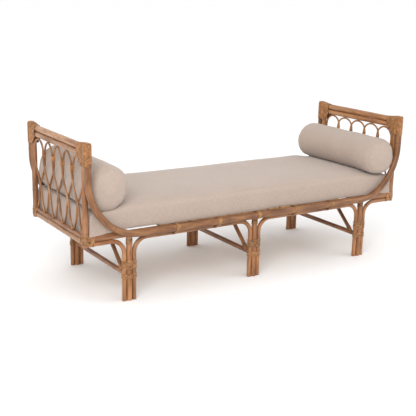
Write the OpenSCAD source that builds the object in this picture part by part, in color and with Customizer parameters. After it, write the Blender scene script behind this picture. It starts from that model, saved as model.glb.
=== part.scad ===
// Rattan daybed: bent side poles, laced end panels, loose mattress and two bolsters.
// X runs along the length, -Y is the front, Z is up, and the feet stand on Z = 0.

/* [Overall] */
// Length over the corner bindings
overall_l = 1870; // [1700:10:2100]
// Width over the side bindings
overall_w = 690; // [640:5:800]
// Height over the corner bindings
overall_h = 760; // [700:5:820]

/* [Poles] */
// Diameter of the two long bent side poles
bow_d = 32; // [28:1:34]
// Diameter of the straight seat rails
seat_rail_d = 31; // [26:1:31]
// Diameter of the corner posts
post_d = 28; // [24:1:30]
// Diameter of the middle pole of each leg
leg_d = 28; // [26:1:30]
// Diameter of the bent poles that flank the legs
bracket_d = 21; // [18:1:22]
// Diameter of the upper rail of an end panel
top_rail_d = 29; // [24:1:30]
// Diameter of the rail just below it
second_rail_d = 28; // [20:1:28]
// Diameter of the bottom rail of an end panel
end_rail_d = 26; // [22:1:28]
// Diameter of the thin rail that the arches stand on
foot_rail_d = 20; // [16:1:20]
// Diameter of the stretchers between front and rear legs
stretcher_d = 24; // [20:1:26]
// Diameter of the bearers between the seat rails
bearer_d = 26; // [22:1:26]
// Diameter of the diagonal braces
brace_d = 20; // [16:1:22]
// Diameter of the thin arch rods
arch_rod_d = 9.5; // [8:0.5:9.5]

/* [Heights] */
// Height of the side pole's straight run
bow_z = 325; // [315:1:335]
// Height of the seat rails
seat_rail_z = 322; // [318:1:326]
// Height of the stretchers
stretcher_z = 118; // [100:1:140]
// Height of the tops of the corner posts above the upper rail's centre
post_over = 16; // [10:1:18]
// Height of the corner posts' lower tips
post_tip_z = 286; // [275:1:290]
// Height of the upper rail of an end panel
top_rail_z = 736; // [730:1:738]
// Gap between rails that lie one above the other
rail_gap = 1; // [0.5:0.5:3]
// Height of the bottom rail of an end panel
end_rail_z = 304; // [300:1:305]

/* [Bends] */
// Upper, wider bend of a side pole
bow_bend_upper = 285; // [250:5:320]
// Lower, tighter bend of a side pole
bow_bend_lower = 245; // [220:5:280]
// Bend of the poles that flank the legs
bracket_bend = 66; // [50:1:80]

/* [Legs] */
// Distance of the end legs from the middle legs
leg_pitch = 701; // [650:1:720]

/* [Bindings] */
// Thickness of a binding
binding_t = 3; // [2:0.5:3]
// Width of the bindings on the side poles
binding_w = 22; // [12:1:26]
// Height of the underside of the lower leg bindings
lower_band_z = 100; // [90:1:104]
// Width of the lower leg bindings
lower_band_w = 27; // [16:1:27]
// Height of the underside of the upper leg bindings
upper_band_z = 146; // [135:1:155]
// Width of the upper leg bindings
upper_band_w = 44; // [30:1:50]

/* [Cushions] */
// Width of the mattress
mattress_w = 600; // [560:5:605]
// Length of the mattress
mattress_l = 1788; // [1780:1:1790]
// Height of the top of the mattress in the middle
mattress_top_z = 462; // [455:1:470]
// Height of the top of the mattress at its ends
mattress_end_z = 437; // [435:1:445]
// Thickness of the quilted mattress cover
cover_t = 12; // [6:1:14]
// Diameter of a bolster
bolster_d = 198; // [180:1:198]
// Length of a bolster
bolster_l = 618; // [600:2:618]
// Distance of a bolster's axis from the middle of the bed
bolster_x = 799; // [795:1:799]

/* [Hidden] */
$fn = 48;

// Radii
bow_r = bow_d / 2;
seat_rail_r = seat_rail_d / 2;
post_r = post_d / 2;
leg_r = leg_d / 2;
bracket_r = bracket_d / 2;
top_rail_r = top_rail_d / 2;
second_rail_r = second_rail_d / 2;
end_rail_r = end_rail_d / 2;
foot_rail_r = foot_rail_d / 2;
stretcher_r = stretcher_d / 2;
bearer_r = bearer_d / 2;
brace_r = brace_d / 2;
arch_rod_r = arch_rod_d / 2;
bolster_r = bolster_d / 2;

// Clearance left where one pole is cut to the shape of another
cope = 0.1;
// Clearance between a binding and the poles inside it
slip = 0.15;
// Gap between poles that lie side by side
pole_gap = 0.5;
// Gap between a thin rod and what it lies against
rod_gap = 0.3;
// Depth to which a rail enters a post before it is cut to it
rail_entry = post_r * 0.8;

// Places of the poles
bow_x = overall_l / 2 - binding_t - bow_r;
bow_y = overall_w / 2 - binding_t - bow_r;
frame_y = bow_y - bow_r - seat_rail_r - pole_gap;
post_x = bow_x + 0.5;
post_top_z = top_rail_z + post_over;
bow_cap_t = 4;
bow_top_z = overall_h - bow_cap_t;
flank = leg_r + bracket_r + pole_gap;
bracket_z = seat_rail_z - seat_rail_r - bracket_r - pole_gap;
bearer_drop = 8;
bearer_z = seat_rail_z - bearer_drop;
second_rail_z = top_rail_z - top_rail_r - rail_gap - second_rail_r;
foot_rail_z = end_rail_z + end_rail_r + rail_gap + foot_rail_r;
legs_x = [-leg_pitch, 0, leg_pitch];

// Side pole: a 45 degree bend of each radius leads from the upright to the straight run
bow_bend_angle = 45;
bow_bend_drop = (bow_bend_upper - bow_bend_lower) * sin(bow_bend_angle);
bow_bend_top_z = bow_z + bow_bend_lower + bow_bend_drop;
bow_run_x = bow_x - bow_bend_upper + (bow_bend_upper - bow_bend_lower) * cos(bow_bend_angle);

// Arches: five to a panel, between the inner faces of the posts
arches = 5;
arch_edge_y = frame_y - post_r - arch_rod_r - rod_gap;
arch_pitch = 2 * arch_edge_y / arches;
arch_top_z = second_rail_z - second_rail_r - arch_rod_r - rod_gap;
arch_spring_z = arch_top_z - arch_pitch / 2;
arch_foot_z = foot_rail_z + foot_rail_r + rail_gap;
arch_layer = arch_rod_r + pole_gap / 2;
arch_foot_slope = 0.4;
arch_sides = 8;
arch_crown_steps = 8;
arch_leg_steps = 10;

// Braces run from the stretcher up to the bearer
brace_foot_y = 241;
brace_head_y = 22;

// Slats: three in each of four bays, and three more towards each end
slat_w = 60;
slat_t = 14;
slat_rise = 7;
slat_top_z = seat_rail_z + seat_rail_r + slat_rise;
slat_l = 2 * frame_y + 4;
slat_step = 72;
slat_bay = leg_pitch / 3;
end_slats_x = [512, 775, 840];

// Cushions
mattress_gap = 0.5;
mattress_z = slat_top_z + mattress_gap;
mattress_round = 28;
round_steps = 5;
end_ring_angle = 84;
crown_x = 650;
zip_gap = 3;
mattress_zip_l = 1000;
bolster_rest_gap = 1;
bolster_z = bolster_axis_z();
bolster_round = 46;
bolster_cover_t = 8;
bolster_zip_l = 300;
core_gap = 0.5;

POLE = [0.69, 0.47, 0.31];
DARK_POLE = [0.60, 0.38, 0.24];
THIN_ROD = [0.74, 0.52, 0.33];
BINDING = [0.76, 0.56, 0.32];
SLAT = [0.78, 0.66, 0.50];
LINEN = [0.78, 0.71, 0.65];
FOAM = [0.93, 0.90, 0.82];

// ---- Shapes that repeat ----

// Straight pole between two heights at a point of the plan
module upright(x, y, z0, z1, r) {
  translate([x, y, z0]) cylinder(h = z1 - z0, r = r);
}

// Straight pole along X
module pole_x(x0, x1, y, z, r) {
  translate([x0, y, z]) rotate([0, 90, 0]) cylinder(h = x1 - x0, r = r);
}

// Straight pole along Y
module pole_y(x, y0, y1, z, r) {
  translate([x, y0, z]) rotate([-90, 0, 0]) cylinder(h = y1 - y0, r = r);
}

// Bent stretch of pole in an upright plane along X, from angle a0 to a1
module bend(x, y, z, bend_r, r, a0, a1) {
  translate([x, y, z])
    rotate([90, 0, 0])
      rotate([0, 0, a0])
        rotate_extrude(angle = a1 - a0)
          translate([bend_r, 0]) circle(r = r);
}

// Places a flat outline given as (Y, Z) and pulls it along X
module along_x(x0, length) {
  translate([x0, 0, 0]) rotate([90, 0, 90]) linear_extrude(length) children();
}

// Places a flat outline given as (X, Z) and pulls it along Y
module along_y(y0, length) {
  translate([0, y0 + length, 0]) rotate([90, 0, 0]) linear_extrude(length) children();
}

// Direction in which a tight strap leaves circle a for circle b; a circle is [x, y, radius]
function strap_angle(a, b) =
  atan2(b[1] - a[1], b[0] - a[0]) - acos((a[2] - b[2]) / norm([b[0] - a[0], b[1] - a[1]]));

// Outline of a strap of thickness t pulled round circles listed anticlockwise
function strap_outline(c, t) =
  let (n = len(c), leave = [for (i = [0:n - 1]) strap_angle(c[i], c[(i + 1) % n])])
  [for (i = [0:n - 1])
    let (from = leave[(i + n - 1) % n],
         span = (leave[i] - from + 720) % 360,
         steps = max(1, ceil(span / 15)))
    for (k = [0:steps])
      [c[i][0] + (c[i][2] + t) * cos(from + span * k / steps),
       c[i][1] + (c[i][2] + t) * sin(from + span * k / steps)]];

// Flat section of a binding round poles, which pass through it with a little room
module strap(c, t = binding_t, room = slip) {
  difference() {
    polygon(strap_outline(c, t));
    for (p = c) translate([p[0], p[1]]) circle(r = p[2] + room);
  }
}

// Runs its children at both ends of the bed, or at the front and the rear
module both_ends() {
  children();
  mirror([1, 0, 0]) children();
}
module both_sides() {
  children();
  mirror([0, 1, 0]) children();
}

function unit(v) = v / norm(v);

// Thin rod swept along a path that lies close to an upright plane along Y
module swept_rod(path, r, sides) {
  last = len(path) - 1;
  points = [for (i = [0:last])
    let (along = unit(path[min(i + 1, last)] - path[max(i - 1, 0)]),
         across = unit(cross(along, [1, 0, 0])))
    for (k = [0:sides - 1])
      path[i] + r * (cos(360 * k / sides) * [1, 0, 0] + sin(360 * k / sides) * across)];
  faces = concat(
    [[for (k = [0:sides - 1]) k]],
    [for (i = [0:last - 1]) for (k = [0:sides - 1])
      let (next = (k + 1) % sides)
      [i * sides + k, (i + 1) * sides + k, (i + 1) * sides + next, i * sides + next]],
    [[for (k = [sides - 1:-1:0]) last * sides + k]]);
  polyhedron(points, faces);
}

// ---- Side poles, rails and posts ----

module bow(side) {
  y = side * bow_y;
  color(POLE) union() {
    pole_x(-bow_run_x, bow_run_x, y, bow_z, bow_r);
    both_ends() {
      bend(bow_run_x, y, bow_z + bow_bend_lower, bow_bend_lower, bow_r, -90, -bow_bend_angle);
      bend(bow_x - bow_bend_upper, y, bow_bend_top_z, bow_bend_upper, bow_r, -bow_bend_angle, 0);
      upright(bow_x, y, bow_bend_top_z, bow_top_z, bow_r);
    }
  }
}

module post(end, side) {
  tip = 3;
  color(POLE) translate([end * post_x, side * frame_y, 0]) union() {
    translate([0, 0, post_tip_z]) cylinder(h = tip, r1 = post_r - tip, r2 = post_r);
    translate([0, 0, post_tip_z + tip]) cylinder(h = post_top_z - post_tip_z - tip, r = post_r);
  }
}

// Everything that pole ends are cut to at the corners
module corner_posts_cut() {
  past = 10;
  both_ends() both_sides()
    upright(post_x, frame_y, post_tip_z - past, post_top_z + past, post_r + cope);
}

module seat_rail(side) {
  end_x = post_x - rail_entry;
  color(POLE) difference() {
    pole_x(-end_x, end_x, side * frame_y, seat_rail_z, seat_rail_r);
    corner_posts_cut();
  }
}

// Rail of an end panel between its two posts
module panel_rail(end, z, r) {
  reach = frame_y - min(rail_entry, r / 2);
  difference() {
    pole_y(end * post_x, -reach, reach, z, r);
    corner_posts_cut();
  }
}

// ---- Arches of the end panels ----

// Sideways travel of an arch's leg, from 0 at the binding to 1 at the foot
function leg_drift(t) = t - sin(360 * t) / (2 * PI) * (1 - arch_foot_slope * t * t);

// Leg of an arch that starts at grid place g and drifts one place in direction d
function arch_leg(g, d, layer) =
  [for (k = [1:arch_leg_steps])
    let (t = k / arch_leg_steps)
    [layer,
     -arch_edge_y + arch_pitch * (g + d * leg_drift(t)),
     arch_spring_z + (arch_foot_z - arch_spring_z) * t]];

// Crown of arch i, from its left to its right springing
function arch_crown(i, left_layer, right_layer) =
  [for (k = [0:arch_crown_steps])
    let (a = 180 - 180 * k / arch_crown_steps,
         mix = (1 - cos(180 * k / arch_crown_steps)) / 2)
    [left_layer + (right_layer - left_layer) * mix,
     -arch_edge_y + arch_pitch * (i + 0.5 + cos(a) / 2),
     arch_spring_z + arch_pitch / 2 * sin(a)]];

function reversed(v) = [for (i = [len(v) - 1:-1:0]) v[i]];

// Legs that lean right lie in the outer layer and legs that lean left in the inner one.
// At the ends of the panel a leg turns back from the post, so the whole rod keeps one layer.
module arch_rod(end, i) {
  first = i == 0;
  last = i == arches - 1;
  left_layer = first ? arch_layer : -arch_layer;
  right_layer = last ? -arch_layer : arch_layer;
  path = concat(
    reversed(arch_leg(i, first ? 1 : -1, left_layer)),
    arch_crown(i, left_layer, right_layer),
    arch_leg(i + 1, last ? -1 : 1, right_layer));
  color(THIN_ROD)
    scale([end, 1, 1]) translate([post_x, 0, 0]) swept_rod(path, arch_rod_r, arch_sides);
}

// ---- Legs and what braces them ----

module leg(x, side) {
  color(POLE) difference() {
    upright(x, side * frame_y, 0, seat_rail_z, leg_r);
    pole_x(x - leg_d, x + leg_d, side * frame_y, seat_rail_z, seat_rail_r + cope);
  }
}

// Pole bent twice: it flanks one leg, runs under the seat rail and flanks the next leg
module bracket(end, side) {
  x0 = flank;
  x1 = leg_pitch - flank;
  y = side * frame_y;
  bend_z = bracket_z - bracket_bend;
  color(POLE) mirror([end < 0 ? 1 : 0, 0, 0]) union() {
    upright(x0, y, 0, bend_z, bracket_r);
    bend(x0 + bracket_bend, y, bend_z, bracket_bend, bracket_r, 90, 180);
    pole_x(x0 + bracket_bend, x1 - bracket_bend, y, bracket_z, bracket_r);
    bend(x1 - bracket_bend, y, bend_z, bracket_bend, bracket_r, 0, 90);
    upright(x1, y, 0, bend_z, bracket_r);
  }
}

// Pole bent once: it flanks an end leg and runs to the corner post
module end_bracket(end, side) {
  x0 = leg_pitch + flank;
  y = side * frame_y;
  bend_z = bracket_z - bracket_bend;
  color(POLE) mirror([end < 0 ? 1 : 0, 0, 0]) difference() {
    union() {
      upright(x0, y, 0, bend_z, bracket_r);
      bend(x0 + bracket_bend, y, bend_z, bracket_bend, bracket_r, 90, 180);
      pole_x(x0 + bracket_bend, post_x, y, bracket_z, bracket_r);
    }
    corner_posts_cut();
    pole_y(post_x, -frame_y, frame_y, end_rail_z, end_rail_r + cope);
  }
}

module stretcher(x) {
  color(DARK_POLE) difference() {
    pole_y(x, -frame_y, frame_y, stretcher_z, stretcher_r);
    both_sides() upright(x, frame_y, 0, seat_rail_z, leg_r + cope);
  }
}

module bearer(x) {
  color(DARK_POLE) difference() {
    pole_y(x, -frame_y, frame_y, bearer_z, bearer_r);
    both_sides() upright(x, frame_y, 0, seat_rail_z, leg_r + cope);
    both_sides() pole_x(x - bearer_d, x + bearer_d, frame_y, seat_rail_z, seat_rail_r + cope);
  }
}

// Diagonal pole in the plane of a pair of legs, on the rear side
module brace_pole(x, r) {
  rise = bearer_z - stretcher_z;
  run = brace_foot_y - brace_head_y;
  translate([x, brace_foot_y, stretcher_z])
    rotate([atan2(run, rise), 0, 0])
      cylinder(h = norm([rise, run]), r = r);
}

module braces() {
  color(DARK_POLE) for (x = legs_x) both_sides() difference() {
    brace_pole(x, brace_r);
    pole_y(x, -frame_y, frame_y, stretcher_z, stretcher_r + cope);
    pole_y(x, -frame_y, frame_y, bearer_z, bearer_r + cope);
  }
}

// Flat wooden slats, notched over the seat rails
module slats() {
  deck = [for (bay = [-1.5:1.5]) for (k = [-1:1]) bay * slat_bay + k * slat_step];
  places = concat(-reversed(end_slats_x), deck, end_slats_x);
  color(SLAT) for (x = places) difference() {
    translate([x - slat_w / 2, -slat_l / 2, slat_top_z - slat_t]) cube([slat_w, slat_l, slat_t]);
    both_sides() pole_x(x - slat_w, x + slat_w, frame_y, seat_rail_z, seat_rail_r + cope);
  }
}

// ---- Bindings ----

// Two bands on each leg, round its three poles, and a collar at the head of the middle one
module leg_bindings() {
  collar_z = 268;
  collar_w = 32;
  collar_t = 2;
  bands = [[lower_band_z, lower_band_w], [upper_band_z, upper_band_w]];
  color(BINDING) for (x = legs_x) both_sides() {
    for (band = bands) difference() {
      translate([x, frame_y, band[0]]) linear_extrude(band[1])
        strap([[-flank, 0, bracket_r], [0, 0, leg_r], [flank, 0, bracket_r], [0, 0, leg_r]]);
      pole_y(x, -frame_y, frame_y, stretcher_z, stretcher_r + slip);
    }
    translate([x, frame_y, collar_z]) linear_extrude(collar_w) difference() {
      circle(r = leg_r + collar_t);
      circle(r = leg_r + slip);
    }
  }
}

// Bands that tie each side pole to the seat rail, and to the bent pole under it
module side_bindings() {
  side_pole = [bow_y, bow_z, bow_r];
  rail = [frame_y, seat_rail_z, seat_rail_r];
  under = [frame_y, bracket_z, bracket_r];
  color(BINDING) both_sides() {
    for (x = [-2, -1, 1, 2] * leg_pitch / 3)
      along_x(x - binding_w / 2, binding_w) strap([side_pole, rail, under]);
    difference() {
      along_x(-binding_w / 2, binding_w) strap([side_pole, rail]);
      upright(0, frame_y, 0, seat_rail_z, leg_r + slip);
      pole_y(0, 0, frame_y, bearer_z, bearer_r + slip);
    }
  }
}

// Wrapped corners that hold side pole, post and the two rails of a panel together
module top_corner_bindings() {
  band_z = 668;
  rail_band = 19;
  overlap = 1;
  rail_band_y = frame_y - post_r - rail_band + overlap;
  color(BINDING) both_ends() both_sides() difference() {
    union() {
      translate([0, 0, band_z]) linear_extrude(overall_h - band_z)
        polygon(strap_outline([[bow_x, bow_y, bow_r], [post_x, frame_y, post_r]], binding_t));
      along_y(rail_band_y, rail_band)
        polygon(strap_outline([[post_x, top_rail_z, top_rail_r],
                               [post_x, second_rail_z, second_rail_r]], binding_t));
    }
    upright(bow_x, bow_y, band_z - 1, bow_top_z, bow_r + slip);
    upright(post_x, frame_y, band_z - 1, post_top_z, post_r + slip);
    pole_y(post_x, 0, frame_y, top_rail_z, top_rail_r + slip);
    pole_y(post_x, 0, frame_y, second_rail_z, second_rail_r + slip);
  }
}

// Bands beside the foot of each post, one on the side rails and one on the panel rails
module bottom_corner_bindings() {
  side_band = 26;
  panel_band = 14;
  band_t = 2.5;
  from_post = 2;
  from_arch = 0.7;
  side_x = post_x - post_r - side_band - from_post;
  panel_y = arch_edge_y - arch_rod_r - panel_band - from_arch;
  color(BINDING) both_ends() both_sides() {
    along_x(side_x, side_band)
      strap([[frame_y, seat_rail_z, seat_rail_r], [frame_y, bracket_z, bracket_r]], band_t);
    along_y(panel_y, panel_band)
      strap([[post_x, foot_rail_z, foot_rail_r], [post_x, end_rail_z, end_rail_r]], band_t);
  }
}

// Small bands where two arches meet
module arch_bindings() {
  low_z = arch_spring_z - 18;
  high_z = arch_spring_z + 3;
  room = 0.45;
  band_t = 1.5;
  color(BINDING) both_ends() for (g = [1:arches - 1])
    translate([post_x, -arch_edge_y + arch_pitch * g, low_z]) linear_extrude(high_z - low_z)
      strap([[-arch_layer, 0, arch_rod_r], [arch_layer, 0, arch_rod_r]], band_t, room);
}

// Bands on the stretchers, between the leg and the foot of the brace
module stretcher_bindings() {
  band = 9;
  band_t = 2.5;
  from_leg = 4;
  color(BINDING) for (x = legs_x) both_sides() difference() {
    along_y(frame_y - leg_r - band - from_leg, band) difference() {
      translate([x, stretcher_z]) circle(r = stretcher_r + band_t);
      translate([x, stretcher_z]) circle(r = stretcher_r + slip);
    }
    brace_pole(x, brace_r + slip);
  }
}

// ---- Cushions ----

// Height of the sloping mattress top at a distance from the middle, and a bolster's rest on it
function mattress_slope() = (mattress_top_z - mattress_end_z) / (mattress_l / 2 - mattress_round - crown_x);
function bolster_axis_z() =
  mattress_top_z - mattress_slope() * (bolster_x - crown_x)
  + (bolster_r + bolster_rest_gap) * sqrt(1 + pow(mattress_slope(), 2));

// Ring of points round the mattress at x: a rounded rectangle with corner radius r
function mattress_ring(x, top_z, r) =
  let (y = mattress_w / 2 - mattress_round,
       low_z = mattress_z + mattress_round,
       high_z = top_z - mattress_round,
       corners = [[y, low_z, -90], [y, high_z, 0], [-y, high_z, 90], [-y, low_z, 180]])
  [for (c = corners) for (k = [0:round_steps])
    let (a = c[2] + 90 * k / round_steps)
    [x, c[0] + r * cos(a), c[1] + r * sin(a)]];

// Rounded slab that is a little higher between the bolsters
module mattress_form(inset) {
  r = mattress_round - inset;
  end_x = mattress_l / 2 - mattress_round;
  half = concat(
    [mattress_ring(crown_x, mattress_top_z, r)],
    [for (k = [0:round_steps]) let (a = end_ring_angle * k / round_steps)
      mattress_ring(end_x + r * sin(a), mattress_end_z, r * cos(a))]);
  rings = concat(reversed([for (ring = half) [for (p = ring) [-p[0], p[1], p[2]]]]), half);
  sides = len(rings[0]);
  last = len(rings) - 1;
  faces = concat(
    [[for (k = [0:sides - 1]) k]],
    [for (i = [0:last - 1]) for (k = [0:sides - 1])
      let (next = (k + 1) % sides)
      [i * sides + k, (i + 1) * sides + k, (i + 1) * sides + next, i * sides + next]],
    [[for (k = [sides - 1:-1:0]) last * sides + k]]);
  polyhedron([for (ring = rings) for (p = ring) p], faces);
}

module mattress_cover() {
  color(LINEN) difference() {
    mattress_form(0);
    mattress_form(cover_t);
    translate([-mattress_zip_l / 2, mattress_w / 2 - 2 * cover_t, mattress_z + mattress_round])
      cube([mattress_zip_l, 4 * cover_t, zip_gap]);
  }
}

module mattress_core() {
  color(FOAM) mattress_form(cover_t + core_gap);
}

// Roll with rounded ends, about its own axis
module bolster_form(inset) {
  r = bolster_r - inset;
  round_r = bolster_round - inset / 2;
  half = bolster_l / 2 - inset;
  edge = [for (a = [0:15:90]) [r - round_r + round_r * cos(a), half - round_r + round_r * sin(a)]];
  rotate([-90, 0, 0]) rotate_extrude()
    polygon(concat([[0, -half]], [for (p = reversed(edge)) [p[0], -p[1]]], edge, [[0, half]]));
}

module bolster_cover(end) {
  color(LINEN) translate([end * bolster_x, 0, bolster_z]) difference() {
    bolster_form(0);
    bolster_form(bolster_cover_t);
    translate([end > 0 ? 0 : -2 * bolster_r, -bolster_zip_l / 2, -zip_gap / 2])
      cube([2 * bolster_r, bolster_zip_l, zip_gap]);
  }
}

module bolster_core(end) {
  color(FOAM) translate([end * bolster_x, 0, bolster_z]) bolster_form(bolster_cover_t + core_gap);
}

// ---- Nodes ----

bow(-1);  // front_bow
bow(1);  // rear_bow
seat_rail(-1);  // front_seat_rail
seat_rail(1);  // rear_seat_rail
post(-1, -1);  // front_left_post
post(1, -1);  // front_right_post
post(-1, 1);  // rear_left_post
post(1, 1);  // rear_right_post
color(POLE) panel_rail(-1, top_rail_z, top_rail_r);  // left_top_rail
color(POLE) panel_rail(1, top_rail_z, top_rail_r);  // right_top_rail
color(POLE) panel_rail(-1, second_rail_z, second_rail_r);  // left_second_rail
color(POLE) panel_rail(1, second_rail_z, second_rail_r);  // right_second_rail
color(POLE) panel_rail(-1, end_rail_z, end_rail_r);  // left_end_rail
color(POLE) panel_rail(1, end_rail_z, end_rail_r);  // right_end_rail
color(DARK_POLE) panel_rail(-1, foot_rail_z, foot_rail_r);  // left_foot_rail
color(DARK_POLE) panel_rail(1, foot_rail_z, foot_rail_r);  // right_foot_rail
for (i = [0:arches - 1]) {
  arch_rod(-1, i);
  arch_rod(1, i);
}
for (i = [0:2]) {
  place = ["left", "middle", "right"][i];
  leg(legs_x[i], -1);
  leg(legs_x[i], 1);
  stretcher(legs_x[i]);
  bearer(legs_x[i]);
}
for (end = [-1, 1]) {
  place = end < 0 ? "left" : "right";
  bracket(end, -1);
  bracket(end, 1);
  end_bracket(end, -1);
  end_bracket(end, 1);
  bolster_cover(end);
  bolster_core(end);
}
braces();
slats();
leg_bindings();
side_bindings();
top_corner_bindings();
bottom_corner_bindings();
arch_bindings();
stretcher_bindings();
mattress_cover();
mattress_core();
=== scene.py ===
"""A rattan daybed with a mattress and two bolsters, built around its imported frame.

Metres, +Z up, and the front is -Y. The poles and rods are swept along the frame's own lines,
the cane is wound round them strip by strip, and the cushions are blown up as cloth.
"""

import math
import random

import bpy
import numpy as np
from mathutils import Matrix, Vector, noise
from mathutils.bvhtree import BVHTree


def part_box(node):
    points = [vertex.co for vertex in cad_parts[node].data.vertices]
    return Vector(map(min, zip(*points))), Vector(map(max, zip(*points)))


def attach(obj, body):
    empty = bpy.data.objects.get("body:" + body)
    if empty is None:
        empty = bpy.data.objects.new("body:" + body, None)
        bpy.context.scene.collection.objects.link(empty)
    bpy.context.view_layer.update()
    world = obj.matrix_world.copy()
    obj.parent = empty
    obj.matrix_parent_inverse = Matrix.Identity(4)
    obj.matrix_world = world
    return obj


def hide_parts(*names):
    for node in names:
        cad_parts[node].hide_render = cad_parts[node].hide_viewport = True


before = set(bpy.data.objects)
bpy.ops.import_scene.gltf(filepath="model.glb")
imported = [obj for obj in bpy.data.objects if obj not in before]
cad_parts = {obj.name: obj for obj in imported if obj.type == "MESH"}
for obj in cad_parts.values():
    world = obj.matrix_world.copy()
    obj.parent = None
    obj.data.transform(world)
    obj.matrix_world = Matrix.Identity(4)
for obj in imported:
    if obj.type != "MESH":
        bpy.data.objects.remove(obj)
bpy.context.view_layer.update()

ENDS = {"left": -1, "right": 1}
SIDES = {"front": -1, "rear": 1}
LEGS = ("left", "middle", "right")

# Sizes that a node's box doesn't tell
BOW_BEND_UPPER = 0.285
BOW_BEND_LOWER = 0.245
BRACKET_BEND = 0.066
ARCHES = 5
ARCH_FOOT_SLOPE = 1.8
BRACE_FOOT_Y = 0.241
BRACE_HEAD_Y = 0.022
BRACE_RADIUS = 0.010
THIN_ROD_RADIUS = 0.0047
SLAT_WIDTH = 0.060
SLAT_THICKNESS = 0.014
SLAT_STEP = 0.072
SLAT_ROUNDING = 0.0025
END_SLATS_X = (0.512, 0.775, 0.840)

# Rattan
POLE_SIDES = 22
ROD_SIDES = 14
RING_STEP = 0.012
KNUCKLE_SWELL = 0.045
TUCK = 0.004
HEAD_CUT = 0.013
PAIR_CLOSER = 0.0003

# Cane
CANE_WIDTH = 0.0052
CANE_THICKNESS = 0.0014
CANE_GAP = 0.0003

# Bands of cane: widths, and stretches (from, to) up a leg, a brace and a post, with the coil's gap
UPPER_LEG_BAND = (0.152, 0.197)
LEG_COLLAR = 0.032
SIDE_BAND = 0.022
SIDE_RAIL_BAND = 0.026
PANEL_RAIL_BAND = 0.014
STRETCHER_BAND = 0.018
BRACE_COIL = (0.016, 0.046)
POST_FOOT_COILS = ((CANE_GAP, 0.291, 0.344), (0.0016, 0.295, 0.330))

# Woven top corners
CORNER_REACH = 0.048
CORNER_ROUNDING = 0.014
WEAVE_STEP = 0.0062
WEAVE_WIDTH = 0.0050
CAP_STEP = 0.0046
CAP_WIDTH = 0.0056
WEAVE_THICKNESS = 0.0012

# Width of a thread of the linen, with the gap beside it
THREAD = 0.0011

# Cushions
GRID_STEP = 0.0155
GRID_STEP_UP = 0.012
MATTRESS_CROWN_X = 0.700
MATTRESS_END_DROP = 0.020
MATTRESS_OVER = (0.007, 0.005)
TOP_EDGE = 0.030
BOTTOM_EDGE = 0.012
END_SQUARENESS = 0.8
EDGE_SAG = 0.0125
END_SAG = 0.0200
TOP_CROWN = 0.004
SIDE_WAVE = 0.0020
END_FOLD = 0.0035
END_WAVE = 0.011
END_RISE = 0.004
CORNER_PUFF = 0.004
DENT = 0.006
GAP_FROM_X = -0.705
GAP_TO_X = -0.545
BOLSTER_PRESS = 0.010
BOLSTER_REST = {"left": 0.429, "right": 0.447}
BOLSTER_SINK = {"left": 1.19, "right": 0.97}
BOLSTER_SHIFT = {"left": (0.001, 0.003, 0), "right": (0.005, -0.016, 0)}


# ---- Small helpers ----


def unit(vectors):
    return vectors / np.linalg.norm(vectors, axis=-1, keepdims=True)


def srgb(red, green, blue):
    """A colour given from 0 to 255 as the eye sees it, ready for a shader."""
    def linear(value):
        share = value / 255
        return share / 12.92 if share <= 0.04045 else ((share + 0.055) / 1.055) ** 2.4
    return (linear(red), linear(green), linear(blue), 1.0)


def smooth_step(low, high, value):
    share = np.clip((value - low) / (high - low), 0, 1)
    return share * share * (3 - 2 * share)


def places_along(path):
    """Distance of each point of a path from its start."""
    return np.concatenate([[0], np.cumsum(np.linalg.norm(np.diff(path, axis=0), axis=1))])


def at_distances(path, distances):
    """Points of a path at the given distances from its start."""
    known = places_along(path)
    return np.stack([np.interp(distances, known, path[:, k]) for k in range(path.shape[1])], axis=1)


# ---- Materials ----


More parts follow.
